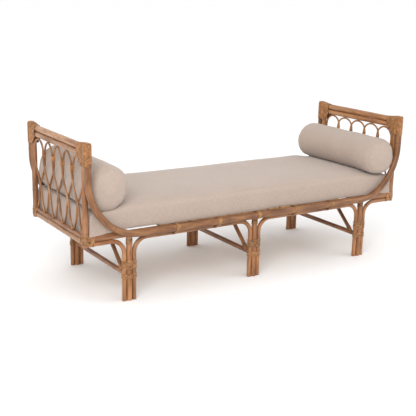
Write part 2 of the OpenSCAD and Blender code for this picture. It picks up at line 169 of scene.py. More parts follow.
class Surface:
    """A Principled material, with short ways to add pattern nodes to it."""

    def __init__(self, name, **values):
        self.material = bpy.data.materials.new(name)
        self.material.use_nodes = True
        self.tree = self.material.node_tree
        self.shader = self.tree.nodes["Principled BSDF"]
        for socket, value in values.items():
            self.shader.inputs[socket.replace("_", " ")].default_value = value

    def node(self, kind, *links, **settings):
        """A node with its first inputs linked or set, and its settings made."""
        made = self.tree.nodes.new("ShaderNode" + kind)
        for key, value in settings.items():
            setattr(made, key, value)
        for socket, value in zip(made.inputs, links):
            self.feed(socket, value)
        return made

    def feed(self, socket, value):
        if isinstance(value, bpy.types.NodeSocket):
            self.tree.links.new(value, socket)
        elif value is not None:
            socket.default_value = value

    def attribute(self, name):
        return self.node("Attribute", attribute_name=name)

    def stretched(self, vector, scale):
        return self.node("VectorMath", vector, scale, operation="MULTIPLY").outputs["Vector"]

    def noise(self, vector, scale, detail=2.0, roughness=0.5):
        made = self.node("TexNoise")
        self.feed(made.inputs["Vector"], self.stretched(vector, scale))
        made.inputs["Scale"].default_value = 1.0
        made.inputs["Detail"].default_value = detail
        made.inputs["Roughness"].default_value = roughness
        return made.outputs["Fac"]

    def math(self, operation, first, second=None, third=None):
        return self.node("Math", first, second, third, operation=operation).outputs[0]

    def remap(self, value, low, high, to_low, to_high):
        return self.node("MapRange", value, low, high, to_low, to_high).outputs["Result"]

    def ramp(self, value, *stops):
        made = self.node("ValToRGB", value)
        elements = made.color_ramp.elements
        while len(elements) < len(stops):
            elements.new(0.5)
        for element, (place, colour) in zip(elements, stops):
            element.position = place
            element.color = colour
        return made.outputs["Color"]

    def mix(self, share, first, second, blend="MIX"):
        made = self.node("Mix", data_type="RGBA", blend_type=blend)
        self.feed(made.inputs[0], share)
        self.feed(made.inputs[6], first)
        self.feed(made.inputs[7], second)
        return made.outputs[2]

    def grain(self):
        """The mesh's own coordinates for patterns."""
        return self.attribute("grain").outputs["Vector"]

    def flecked(self, colour, share, pattern, *stops):
        """Multiplies a colour by a ramp over a pattern."""
        return self.mix(share, colour, self.ramp(pattern, *stops), "MULTIPLY")

    def shaded(self, colour, share, dark):
        """Darkens a colour by the mesh's shade value: painted shade in seams and along strip edges, and the
        dark growth rings at knuckles.
        """
        shade = self.attribute("shade").outputs["Fac"]
        return self.mix(self.math("MULTIPLY", shade, share), colour, dark)

    def toned(self, colour, low, high):
        """Brightens or darkens a colour by the piece's own tone."""
        made = self.node("HueSaturation")
        tone = self.attribute("tone").outputs["Fac"]
        self.feed(made.inputs["Value"], self.remap(tone, 0.0, 1.0, low, high))
        self.feed(made.inputs["Color"], colour)
        return made.outputs["Color"]

    def finish(self, colour, roughness, height, bump, depth=0.0005):
        made = self.node("Bump")
        made.inputs["Strength"].default_value = bump
        made.inputs["Distance"].default_value = depth
        self.feed(made.inputs["Height"], height)
        self.feed(self.shader.inputs["Normal"], made.outputs["Normal"])
        self.feed(self.shader.inputs["Base Color"], colour)
        self.feed(self.shader.inputs["Roughness"], roughness)
        return self.material


def rattan(name, dark, middle, light, patch=(42, 42, 9)):
    """Lacquered rattan: long soft patches, fine fibres, dark growth rings and scars."""
    made = Surface(name, Coat_Weight=0.22, Coat_Roughness=0.28, Specular_IOR_Level=0.4)
    patches = made.noise(made.grain(), patch, detail=3, roughness=0.6)
    fibres = made.noise(made.grain(), (900, 900, 14), detail=2, roughness=0.6)
    scars = made.noise(made.grain(), (260, 260, 45), detail=1)
    colour = made.ramp(patches, (0.30, dark), (0.48, middle), (0.70, light))
    colour = made.flecked(colour, 0.75, fibres, (0.30, (0.70, 0.66, 0.62, 1)), (0.62, (1.06, 1.05, 1.04, 1)))
    colour = made.mix(made.remap(scars, 0.66, 0.74, 0.0, 0.55), colour, dark)
    colour = made.toned(made.shaded(colour, 0.8, srgb(88, 50, 28)), 0.86, 1.14)
    roughness = made.remap(patches, 0.3, 0.7, 0.52, 0.36)
    height = made.math("ADD", made.math("MULTIPLY", patches, 0.6), fibres)
    return made.finish(colour, roughness, height, bump=0.35, depth=0.0004)


def rattan_end(name):
    """The sawn end of a pole: pale pith with open pores inside a darker skin."""
    made = Surface(name, Specular_IOR_Level=0.25)
    pores = made.noise(made.grain(), (1400, 1400, 1), detail=1)
    colour = made.ramp(pores, (0.36, srgb(112, 72, 42)), (0.50, srgb(196, 156, 110)),
                       (0.7, srgb(214, 178, 132)))
    return made.finish(colour, made.remap(pores, 0.3, 0.7, 0.9, 0.7), pores, bump=0.5)


def cane(name, dark, middle, light, spread=0.19):
    """Split cane: fibres along the strip, darker at its edges with painted shade, each strip of its own
    tone.
    """
    made = Surface(name, Coat_Weight=0.15, Coat_Roughness=0.3, Specular_IOR_Level=0.4)
    fibres = made.noise(made.grain(), (1800, 1800, 40), detail=2, roughness=0.6)
    patches = made.noise(made.grain(), (120, 120, 45), detail=2)
    colour = made.ramp(patches, (0.34, dark), (0.5, middle), (0.68, light))
    colour = made.flecked(colour, 0.8, fibres, (0.3, (0.68, 0.66, 0.62, 1)), (0.65, (1.08, 1.06, 1.04, 1)))
    # Painted shade along the strip's lower edges
    colour = made.toned(made.shaded(colour, 0.75, srgb(86, 54, 28)), 1 - spread, 1 + spread)
    return made.finish(colour, made.remap(fibres, 0.3, 0.7, 0.55, 0.4), fibres, bump=0.4, depth=0.0003)


def slat_wood(name):
    """Sawn softwood, with grain along the slat."""
    made = Surface(name, Specular_IOR_Level=0.3)
    bands = made.noise(made.grain(), (60, 60, 3), detail=4, roughness=0.6)
    fibres = made.noise(made.grain(), (900, 900, 25), detail=2)
    colour = made.ramp(bands, (0.34, srgb(158, 122, 84)), (0.5, srgb(190, 156, 114)),
                       (0.66, srgb(208, 178, 138)))
    colour = made.flecked(colour, 0.6, fibres, (0.3, (0.8, 0.78, 0.75, 1)), (0.6, (1.03, 1.02, 1.0, 1)))
    colour = made.toned(colour, 0.88, 1.10)
    return made.finish(colour, made.remap(bands, 0.3, 0.7, 0.75, 0.55), fibres, bump=0.3, depth=0.0004)


def linen(name, shadow, base, light):
    """Heathered linen: a plain weave with thick and thin threads, in the cloth's own coordinates."""
    made = Surface(name, Sheen_Weight=0.25, Sheen_Roughness=0.5, Specular_IOR_Level=0.2)
    cloth = made.grain()
    warp = made.noise(cloth, (1100, 60, 60), detail=2, roughness=0.6)
    weft = made.noise(cloth, (60, 1100, 60), detail=2, roughness=0.6)
    heather = made.math("ADD", made.math("MULTIPLY", warp, 0.5), made.math("MULTIPLY", weft, 0.5))
    clouds = made.noise(cloth, (7, 7, 7), detail=3)
    colour = made.ramp(heather, (0.36, shadow), (0.5, base), (0.64, light))
    colour = made.flecked(colour, 0.5, clouds, (0.3, (0.93, 0.92, 0.91, 1)), (0.7, (1.04, 1.04, 1.04, 1)))
    # Painted shade where the shade value is set, along the seams
    colour = made.shaded(colour, 0.6, srgb(120, 96, 78))
    across = made.node("SeparateXYZ", cloth)
    threads = []
    for axis in ("X", "Y"):
        turn = made.math("MULTIPLY", across.outputs[axis], 2 * math.pi / THREAD)
        threads.append(made.math("SINE", turn))
    height = made.math("ADD", made.math("MULTIPLY", *threads), made.math("MULTIPLY", heather, 3.0))
    return made.finish(colour, made.remap(heather, 0.3, 0.7, 0.95, 0.82), height, bump=0.35, depth=0.0003)


# ---- Meshes built from rings ----


def set_attribute(mesh, name, domain, values):
    """Gives a mesh a named value, or a vector, for each of its points or corners."""
    values = np.array(values, np.float32)
    kind, field = ("FLOAT_VECTOR", "vector") if values.ndim == 2 else ("FLOAT", "value")
    mesh.attributes.new(name, kind, domain).data.foreach_set(field, values.ravel())


class Shape:
    """Points, faces and the values that the materials read, gathered for one piece."""

    def __init__(self):
        self.points, self.grain, self.shade, self.tone = [], [], [], []
        self.faces, self.slots, self.flat = [], [], []

    def add(self, points, grain, shade, tone):
        first = len(self.points)
        self.points.extend(points.reshape(-1, 3).tolist())
        self.grain.extend(grain.reshape(-1, 3).tolist())
        self.shade.extend(np.broadcast_to(shade, points.shape[:-1]).reshape(-1).tolist())
        self.tone.extend([tone] * (len(self.points) - first))
        return first

    def face(self, corners, slot=0, flat=False):
        self.faces.append(corners)
        self.slots.append(slot)
        self.flat.append(flat)

    def skin(self, rings, grain, shade, tone, end_slot=0):
        """A closed surface through a row of rings, with both ends filled."""
        count, sides = rings.shape[:2]
        first = self.add(rings, grain, shade, tone)
        for i in range(count - 1):
            here, there = first + i * sides, first + (i + 1) * sides
            for k in range(sides):
                n = (k + 1) % sides
                self.face((here + k, here + n, there + n, there + k))
        last = first + (count - 1) * sides
        self.face(tuple(range(first + sides - 1, first - 1, -1)), end_slot, True)
        self.face(tuple(range(last, last + sides)), end_slot, True)

    def piece(self, name, materials, body, slot, *nodes):
        """Makes the gathered mesh a piece that stands for CAD nodes on a body."""
        mesh = bpy.data.meshes.new(name)
        mesh.from_pydata(self.points, [], self.faces)
        for material in materials:
            mesh.materials.append(material)
        mesh.polygons.foreach_set("material_index", self.slots)
        mesh.polygons.foreach_set("use_smooth", [not flat for flat in self.flat])
        set_attribute(mesh, "grain", "POINT", self.grain)
        set_attribute(mesh, "shade", "POINT", self.shade)
        set_attribute(mesh, "tone", "POINT", self.tone)
        mesh.update()
        made = bpy.data.objects.new(name, mesh)
        bpy.context.scene.collection.objects.link(made)
        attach(made, body)
        if nodes:
            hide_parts(*nodes)
        return made


def sweep(path, radii, sides):
    """Rings round a path, turned as little as possible from one to the next, and their angles."""
    along = unit(np.gradient(path, axis=0))
    angles = np.arange(sides) * 2 * math.pi / sides
    start = np.eye(3)[np.argmin(abs(along[0]))]
    rings = []
    for point, direction, radius in zip(path, along, radii):
        start = unit(start - direction * (start @ direction))
        other = np.cross(direction, start)
        rings.append(point + radius * (np.outer(np.cos(angles), start) + np.outer(np.sin(angles), other)))
    return np.array(rings), angles


def add_pole(shape, path, radius, seed, sides=POLE_SIDES, swell=KNUCKLE_SWELL, gap=(0.20, 0.34)):
    """A rattan pole along a path: slightly uneven, with swollen growth rings and sawn ends."""
    chance = random.Random(seed)
    path = np.array(path, float)
    length = places_along(path)[-1]
    knuckles = []
    place = chance.uniform(0.04, gap[1])
    while place < length:
        knuckles.append(place)
        place += chance.uniform(*gap)
    stations = set(np.linspace(0, length, max(4, round(length / RING_STEP))).tolist())
    for knuckle in knuckles:
        stations.update(knuckle + np.array([-0.009, -0.005, -0.0022, 0, 0.0022, 0.005, 0.009]))
    stations.update([0.0007, 0.002, length - 0.002, length - 0.0007])
    stations = np.array(sorted(s for s in stations if 0 <= s <= length))
    stations = stations[np.concatenate([[True], np.diff(stations) > 0.0003])]
    phase = chance.uniform(0, 6)
    radii = radius * (1 + 0.010 * np.sin(stations * 17 + phase) + 0.006 * np.sin(stations * 43 + 2 * phase))
    shade = np.zeros(len(stations))
    for knuckle in knuckles:
        away = (stations - knuckle) / 0.0045
        radii *= 1 + swell * np.exp(-away * away)
        shade = np.maximum(shade, 0.75 * np.exp(-((stations - knuckle) / 0.0018) ** 2))
    ends = np.minimum(stations, length - stations)
    radii *= 1 - 0.10 * np.clip(1 - ends / 0.002, 0, 1) ** 2
    rings, angles = sweep(at_distances(path, stations), radii, sides)
    offset = chance.uniform(0, 40)
    grain = np.empty_like(rings)
    grain[..., 0] = radii[:, None] * np.cos(angles)
    grain[..., 1] = radii[:, None] * np.sin(angles)
    grain[..., 2] = stations[:, None] + offset
    shape.skin(rings, grain, shade[:, None], chance.random(), end_slot=1)


# Section of a cane strip: flat below, rounded above, as shares of its width and thickness
STRIP_SECTION = ((0.5, 0.0), (0.44, 0.72), (0.0, 1.0), (-0.44, 0.72), (-0.5, 0.0))
# Painted shade at each corner of the section: dark at the lower edges, where the strip lies on what it is
# wound round
STRIP_SHADE = (0.9, 0.35, 0.0, 0.35, 0.9)


def add_strip(shape, path, outward, width, thickness, chance):
    """A flat strip of cane along a path, with its rounded face outward."""
    along = unit(np.gradient(path, axis=0))
    side = unit(np.cross(outward, along))
    offset = chance.uniform(0, 40)
    stations = places_along(path)
    rings, grain = [], []
    for a, b in STRIP_SECTION:
        rings.append(path + side * a * width + outward * b * thickness)
        grain.append(np.stack(np.broadcast_arrays(a * width, b * thickness, stations + offset), axis=1))
    shade = np.array(STRIP_SHADE)[None, :]
    shape.skin(np.stack(rings, axis=1), np.stack(grain, axis=1), shade, chance.random())


# ---- Outlines that cane is wound round ----


def strap(circles, lift, count=44):
    """Outline of a strap pulled round circles (x, y, radius), listed anticlockwise, in even steps."""
    leave = []
    for i, (ax, ay, ar) in enumerate(circles):
        bx, by, br = circles[(i + 1) % len(circles)]
        away = math.hypot(bx - ax, by - ay)
        leave.append(math.atan2(by - ay, bx - ax) - math.acos((ar - br) / away))
    points = []
    for i, (x, y, radius) in enumerate(circles):
        span = (leave[i] - leave[i - 1]) % (2 * math.pi)
        for angle in leave[i - 1] + np.linspace(0, span, 2 + int(span * 12)):
            points.append((x + (radius + lift) * math.cos(angle), y + (radius + lift) * math.sin(angle)))
    points.append(points[0])
    path = np.array(points)
    return at_distances(path, np.linspace(0, places_along(path)[-1], count, endpoint=False))


def ring(radius, count=26):
    angles = np.linspace(0, 2 * math.pi, count, endpoint=False)
    return radius * np.stack([np.cos(angles), np.sin(angles)], axis=1)


def outline_normals(outline):
    along = unit(np.roll(outline, -1, axis=0) - np.roll(outline, 1, axis=0))
    return np.stack([along[:, 1], -along[:, 0]], axis=1)


def wind(shape, outline, axes, origin, low, high, chance,
         width=CANE_WIDTH, thickness=CANE_THICKNESS, turns=None, start=0.0, lift=0.0, weave=0.0):
    """Winds a strip round an outline from low to high along the third axis, turn beside turn.

    With turns given it climbs in that many, as lashings do, and a negative number winds the
    other way. A lashing can weave: it is lifted over every other strip that it crosses.
    """
    normals = outline_normals(outline)
    count = len(outline)
    if turns is None:
        turns = max(1.0, (high - low - width) / (width * 1.03))
    steps = max(6, round(abs(turns) * count))
    share = np.linspace(0, 1, steps + 1)
    around = (start + share * turns) * count
    index = np.floor(around).astype(int)
    part = (around - index)[:, None]
    flat = outline[index % count] * (1 - part) + outline[(index + 1) % count] * part
    out = unit(normals[index % count] * (1 - part) + normals[(index + 1) % count] * part)
    edge = np.minimum(share, 1 - share) * abs(turns)
    rise = lift - thickness * 0.9 * (1 - smooth_step(0, 0.10, edge))
    rise = rise + weave * np.sin(share * abs(turns) * 2 * math.pi * 2 + 1)
    flat = flat + out * rise[:, None]
    height = low + width / 2 + share * (high - low - width)
    axes = np.array(axes, float)
    path = np.array(origin) + flat @ axes[:2] + height[:, None] * axes[2]
    add_strip(shape, path, out @ axes[:2], width, thickness, chance)


ALONG_X = ((0, 1, 0), (0, 0, 1), (1, 0, 0))
ALONG_Y = ((0, 0, 1), (1, 0, 0), (0, 1, 0))
ALONG_Z = ((1, 0, 0), (0, 1, 0), (0, 0, 1))


# ---- The frame's lines, from the nodes' boxes ----


class Line:
    """Axis, radius and ends of a straight pole, from its node's box."""

    def __init__(self, node, axis):
        low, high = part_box(node)
        across = [k for k in range(3) if k != axis]
        self.radius = min(high[k] - low[k] for k in across) / 2
        self.centre = [(low[k] + high[k]) / 2 for k in range(3)]
        self.low, self.high = low[axis], high[axis]
        self.axis = axis

    def path(self, before=0.0, after=0.0):
        ends = [list(self.centre), list(self.centre)]
        ends[0][self.axis] = self.low - before
        ends[1][self.axis] = self.high + after
        return at_distances(np.array(ends), np.linspace(0, self.high - self.low + before + after, 60))


def arc(centre, radius, start, end, count=20):
    """Arc in an upright plane along X, from angle start to end in degrees."""
    angles = np.radians(np.linspace(start, end, count))
    x, y, z = centre
    return [(x + radius * math.cos(a), y, z + radius * math.sin(a)) for a in angles]


RATTAN = rattan("rattan", srgb(114, 71, 41), srgb(150, 100, 61), srgb(180, 130, 86))
RATTAN_BOW = rattan("rattan_bow", srgb(98, 60, 32), srgb(127, 83, 47), srgb(152, 106, 66))
RATTAN_LIGHT = rattan("rattan_light", srgb(130, 82, 45), srgb(162, 109, 65), srgb(184, 134, 88))
# A lighter copy of the rattan with painted light, for the left end's rails, which face the key lamp
RATTAN_LIT = rattan("rattan_lit", srgb(122, 80, 52), srgb(156, 112, 78), srgb(180, 137, 102))
# A darker copy of the rattan with painted shade, for the poles low under the seat and the rear left post
RATTAN_SHADED = rattan("rattan_shaded", srgb(100, 61, 37), srgb(132, 87, 55), srgb(160, 114, 78))
THIN = (60, 60, 14)
THIN_RATTAN = rattan("thin_rattan", srgb(120, 74, 38), srgb(162, 111, 64), srgb(188, 138, 88), THIN)
# A darker copy of the thin rattan with painted shade, for the left end's arch rods
THIN_RATTAN_SHADED = rattan("thin_rattan_shaded", srgb(104, 64, 34), srgb(140, 95, 56), srgb(168, 124, 80), THIN)
SAWN = rattan_end("rattan_sawn_end")
CANE_GOLD = cane("cane_gold", srgb(126, 84, 46), srgb(160, 112, 66), srgb(186, 140, 88))
CANE_TAN = cane("cane_tan", srgb(118, 78, 44), srgb(158, 110, 67), srgb(186, 140, 94), spread=0.28)
CANE_BROWN = cane("cane_brown", srgb(120, 74, 38), srgb(164, 111, 62), srgb(192, 138, 82), spread=0.34)
WOOD = slat_wood("slat_wood")
LINEN = linen("linen", srgb(160, 142, 129), srgb(173, 156, 144), srgb(181, 165, 154))

seat_rail = Line("front_seat_rail", 0)
post = Line("front_right_post", 2)
leg = Line("front_right_leg", 2)
top_rail = Line("right_top_rail", 1)
second_rail = Line("right_second_rail", 1)
end_rail = Line("right_end_rail", 1)
foot_rail = Line("right_foot_rail", 1)
stretcher = Line("right_stretcher", 1)
bearer = Line("right_bearer", 1)
frame_y = abs(post.centre[1])
post_x = post.centre[0]
leg_x = leg.centre[0]
bow_low, bow_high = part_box("front_bow")
bow_radius = (bow_high.y - bow_low.y) / 2
bow_y = abs(bow_low.y + bow_high.y) / 2
bow_x = bow_high.x - bow_radius
bow_z = bow_low.z + bow_radius
bracket_low, bracket_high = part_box("front_right_bracket")
bracket_radius = (bracket_high.y - bracket_low.y) / 2
bracket_z = bracket_high.z - bracket_radius
flank = bracket_low.x + bracket_radius


def pole_piece(name, path, radius, material=None, slot="rattan"):
    shape = Shape()
    add_pole(shape, path, radius, name)
    return shape.piece(name, [material or RATTAN, SAWN], "frame", slot, name)


def make_bows():
    corner = math.radians(45)
    difference = BOW_BEND_UPPER - BOW_BEND_LOWER
    run_x = bow_x - BOW_BEND_UPPER + difference * math.cos(corner)
    bend_top = bow_z + BOW_BEND_LOWER + difference * math.sin(corner)
    for side, sign in SIDES.items():
        y = sign * bow_y
        half = [(0, y, bow_z)]
        half += arc((run_x, y, bow_z + BOW_BEND_LOWER), BOW_BEND_LOWER, -90, -45)
        half += arc((bow_x - BOW_BEND_UPPER, y, bend_top), BOW_BEND_UPPER, -45, 0)
        half += [(bow_x, y, bow_high.z - HEAD_CUT)]
        other = [(-x, y, z) for x, y, z in reversed(half[1:])]
        pole_piece(side + "_bow", other + half, bow_radius, RATTAN_BOW)


def make_straight_poles():
    for side in SIDES:
        line = Line(side + "_seat_rail", 0)
        pole_piece(side + "_seat_rail", line.path(TUCK, TUCK), line.radius)
        for end in ENDS:
            name = f"{side}_{end}_post"
            line = Line(name, 2)
            # The rear left post takes the darker copy as painted shade
            look = RATTAN_SHADED if name == "rear_left_post" else RATTAN
            pole_piece(name, line.path(0, -HEAD_CUT), line.radius, look)
        for place in LEGS:
            name = f"{side}_{place}_leg"
            line = Line(name, 2)
            pole_piece(name, line.path(), line.radius)
    for end in ENDS:
        # The left end's rails take the lighter copy as painted light
        outer = RATTAN_LIT if end == "left" else RATTAN_LIGHT
        for rail in ("top", "second", "end"):
            name = f"{end}_{rail}_rail"
            line = Line(name, 1)
            pole_piece(name, line.path(), line.radius + PAIR_CLOSER, outer)
        line = Line(end + "_foot_rail", 1)
        # The foot rails take the darker copy as painted shade
        pole_piece(end + "_foot_rail", line.path(TUCK, TUCK), line.radius, RATTAN_SHADED)
    for place in LEGS:
        # The stretchers and bearers take the darker copy as painted shade
        for rail in ("stretcher", "bearer"):
            name = f"{place}_{rail}"
            line = Line(name, 1)
            pole_piece(name, line.path(TUCK, TUCK), line.radius, RATTAN_SHADED)


def make_brackets():
    """The bent poles under the seat rails, and the shorter ones that run to the corner posts."""
    for side, side_sign in SIDES.items():
        for end, end_sign in ENDS.items():
            y = side_sign * frame_y
            bend_z = bracket_z - BRACKET_BEND
            inner = bracket_low.x + bracket_radius
            outer = bracket_high.x - bracket_radius
            path = [(inner, y, 0)]
            path += arc((inner + BRACKET_BEND, y, bend_z), BRACKET_BEND, 180, 90)
            path += arc((outer - BRACKET_BEND, y, bend_z), BRACKET_BEND, 90, 0)
            path += [(outer, y, 0)]
            path = [(end_sign * px, py, pz) for px, py, pz in path]
            pole_piece(f"{side}_{end}_bracket", path, bracket_radius)
            start = leg_x + flank
            path = [(start, y, 0)]
            path += arc((start + BRACKET_BEND, y, bend_z), BRACKET_BEND, 180, 90)
            path += [(post_x - post.radius + TUCK, y, bracket_z)]
            path = [(end_sign * px, py, pz) for px, py, pz in path]
            pole_piece(f"{side}_{end}_end_bracket", path, bracket_radius)


def make_braces():
    shape = Shape()
    for x in (-leg_x, 0, leg_x):
        for sign in (-1, 1):
            foot = (x, sign * BRACE_FOOT_Y, stretcher.centre[2])
            head = (x, sign * BRACE_HEAD_Y, bearer.centre[2])
            path = at_distances(np.array([foot, head]), np.linspace(0, math.dist(foot, head), 30))
            add_pole(shape, path, BRACE_RADIUS, f"brace {x:.2f} {sign}")
    # The braces take the darker copy as painted shade
    shape.piece("braces", [RATTAN_SHADED, SAWN], "frame", "rattan", "braces")


# ---- Arches ----

rod_low, rod_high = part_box("right_arch_rod_3")
rod_radius = (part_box("right_arch_rod_1")[1].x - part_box("right_arch_rod_1")[0].x) / 2
arch_layer = THIN_ROD_RADIUS + 0.0001
arch_edge = frame_y - post.radius - rod_radius - 0.0003
arch_pitch = 2 * arch_edge / ARCHES
arch_foot_z = rod_low.z
arch_spring_z = rod_high.z - rod_radius - arch_pitch / 2


def leg_drift(share):
    """Sideways travel of an arch's leg, from 0 at the binding to 1 at the foot."""
    return share - np.sin(2 * math.pi * share) / (2 * math.pi) * (1 - ARCH_FOOT_SLOPE * share * share)


def arch_leg(place, direction, layer):
    share = np.linspace(0, 1, 40)[1:]
    y = -arch_edge + arch_pitch * (place + direction * leg_drift(share))
    z = arch_spring_z + (arch_foot_z - arch_spring_z) * share
    return [(layer, b, c) for b, c in zip(y, z)]


def arch_crown(place, left_layer, right_layer):
    angles = np.linspace(math.pi, 0, 24)
    share = (1 + np.cos(angles)) / 2
    x = left_layer + (right_layer - left_layer) * (3 - 2 * share) * share * share
    y = -arch_edge + arch_pitch * (place + 0.5 + np.cos(angles) / 2)
    z = arch_spring_z + arch_pitch / 2 * np.sin(angles)
    return list(zip(x, y, z))


def make_arches():
    for end, sign in ENDS.items():
        for i in range(ARCHES):
            first, last = i == 0, i == ARCHES - 1
            left_layer = -arch_layer if first else arch_layer
            right_layer = arch_layer if last else -arch_layer
            path = list(reversed(arch_leg(i, 1 if first else -1, left_layer)))
            path += arch_crown(i, left_layer, right_layer)
            path += arch_leg(i + 1, -1 if last else 1, right_layer)
            path = [(sign * (post_x + x), y, z) for x, y, z in path]
            name = f"{end}_arch_rod_{i + 1}"
            shape = Shape()
            add_pole(shape, path, THIN_ROD_RADIUS, name, ROD_SIDES, swell=0.06, gap=(0.12, 0.24))
            # The left end's rods take the darker copy as painted shade
            look = THIN_RATTAN_SHADED if end == "left" else THIN_RATTAN
            shape.piece(name, [look, SAWN], "frame", "thin_rattan", name)


# ---- Cane bindings ----

MIDDLE = (0, 0, 0)

def pinched(outline, spots, depth, reach):
    """An outline drawn in towards its long axis beside the given places."""
    made = outline.copy()
    for spot in spots:
        pull = depth * np.exp(-((outline[:, 0] - spot) / reach) ** 2)
        made[:, 1] -= np.sign(outline[:, 1]) * np.minimum(pull, abs(outline[:, 1]))
    return made


def span(side, near, far):
    """The stretch between two distances from the middle, on one side of it."""
    return sorted((side * near, side * far))


def binding(shape, name, material):
    shape.piece(name, [material], "frame", "cane_binding", name)


def make_leg_bindings():
    """Two lashed bands round the three poles of each leg, and a collar at the middle one's head."""
    shape, chance = Shape(), random.Random("leg bindings")
    low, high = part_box("leg_bindings")
    circles = ((-flank, 0, bracket_radius), (0, 0, leg.radius),
               (flank, 0, bracket_radius), (0, 0, leg.radius))
    groove = (leg.radius + flank - bracket_radius) / 2
    outline = pinched(strap(circles, 0.0004, count=64), (-groove, groove), 0.0036, 0.0034)
    for x in (-leg_x, 0, leg_x):
        for side in (-1, 1):
            origin = (x, side * frame_y, 0)
            for bottom, top in ((low.z + 0.006, low.z + 0.033), UPPER_LEG_BAND):
                wind(shape, outline, ALONG_Z, origin, bottom, top, chance)
                for start in (0.0, 0.25, 0.5, 0.75):
                    for turns in (-0.5, 0.5):
                        wind(shape, outline, ALONG_Z, origin, bottom, top, chance, turns=turns,
                             start=start, lift=CANE_THICKNESS * 0.75, weave=0.0004, width=0.0046)
            wind(shape, ring(leg.radius + CANE_GAP), ALONG_Z, origin, high.z - LEG_COLLAR, high.z, chance)
    binding(shape, "leg_bindings", CANE_TAN)


def make_side_bindings():
    """Bands that tie each side pole to the seat rail, and to the bent pole under it."""
    shape, chance = Shape(), random.Random("side bindings")
    half = SIDE_BAND / 2
    for side in (-1, 1):
        pole = (side * bow_y, bow_z, bow_radius)
        rail = (side * frame_y, seat_rail.centre[2], seat_rail.radius)
        under = (side * frame_y, bracket_z, bracket_radius)
        for x in np.array([-2, -1, 1, 2]) * leg_x / 3:
            circles = (pole, rail, under) if side > 0 else (pole, under, rail)
            wind(shape, strap(circles, CANE_GAP), ALONG_X, MIDDLE, x - half, x + half, chance)
        wind(shape, strap((pole, rail), CANE_GAP), ALONG_X, MIDDLE, -half, half, chance)
    binding(shape, "side_bindings", CANE_GOLD)


def make_arch_bindings():
    """Small coils where two arches run side by side."""
    shape, chance = Shape(), random.Random("arch bindings")
    circles = ((-arch_layer, 0, THIN_ROD_RADIUS), (arch_layer, 0, THIN_ROD_RADIUS))
    outline = strap(circles, 0.0002, count=30)
    low, high = arch_spring_z - 0.022, arch_spring_z + 0.002
    for sign in (-1, 1):
        for i in range(1, ARCHES):
            origin = (sign * post_x, -arch_edge + arch_pitch * i, 0)
            wind(shape, outline, ALONG_Z, origin, low, high, chance, width=0.0030, thickness=0.0009)
    binding(shape, "arch_bindings", CANE_BROWN)


def make_stretcher_bindings():
    """Coils on the stretchers and round the feet of the braces."""
    shape, chance = Shape(), random.Random("stretcher bindings")
    z = stretcher.centre[2]
    outer = frame_y - leg.radius - 0.004
    for x in (-leg_x, 0, leg_x):
        for side in (-1, 1):
            coil = span(side, outer, outer - STRETCHER_BAND)
            wind(shape, ring(stretcher.radius + CANE_GAP), ALONG_Y, (x, 0, z), *coil, chance)
            foot = Vector((x, side * BRACE_FOOT_Y, z))
            along = (Vector((x, side * BRACE_HEAD_Y, bearer.centre[2])) - foot).normalized()
            axes = ((1, 0, 0), tuple(along.cross((1, 0, 0))), tuple(along))
            wind(shape, ring(BRACE_RADIUS + CANE_GAP), axes, tuple(foot), *BRACE_COIL, chance)
    binding(shape, "stretcher_bindings", CANE_TAN)


def make_bottom_corner_bindings():
    """Bands beside the foot of each post, on the side rails and on the panel's rails, and coils round it."""
    shape, chance = Shape(), random.Random("bottom corner bindings")
    side_x = post_x - post.radius - SIDE_RAIL_BAND - 0.002
    panel_y = arch_edge - rod_radius - PANEL_RAIL_BAND - 0.0007
    for end in (-1, 1):
        for side in (-1, 1):
            circles = [(side * frame_y, seat_rail.centre[2], seat_rail.radius)]
            circles += [(side * frame_y, bracket_z, bracket_radius)]
            band = span(end, side_x, side_x + SIDE_RAIL_BAND)
            wind(shape, strap(circles, CANE_GAP), ALONG_X, MIDDLE, *band, chance)
            circles = [(rail.centre[2], end * post_x, rail.radius) for rail in (end_rail, foot_rail)]
            band = span(side, panel_y, panel_y + PANEL_RAIL_BAND)
            wind(shape, strap(circles, CANE_GAP), ALONG_Y, MIDDLE, *band, chance)
            foot = (end * post_x, side * frame_y, 0)
            for gap, low, high in POST_FOOT_COILS:
                wind(shape, ring(post.radius + gap), ALONG_Z, foot, low, high, chance)
    binding(shape, "bottom_corner_bindings", CANE_TAN)


def clipped(start, direction, corners):
    """The stretch (from, to) of a line that lies inside a convex outline, or None."""
    low, high = -1.0, 1.0
    for (ax, ay), (bx, by) in zip(corners, corners[1:] + corners[:1]):
        normal = np.array([by - ay, ax - bx])
        rate = normal @ direction
        room = normal @ (np.array([ax, ay]) - start)
        if abs(rate) < 1e-12:
            if room < 0:
                return None
        elif rate > 0:
            high = min(high, room / rate)
        else:
            low = max(low, room / rate)
    return (low, high) if high - low > 0.006 else None


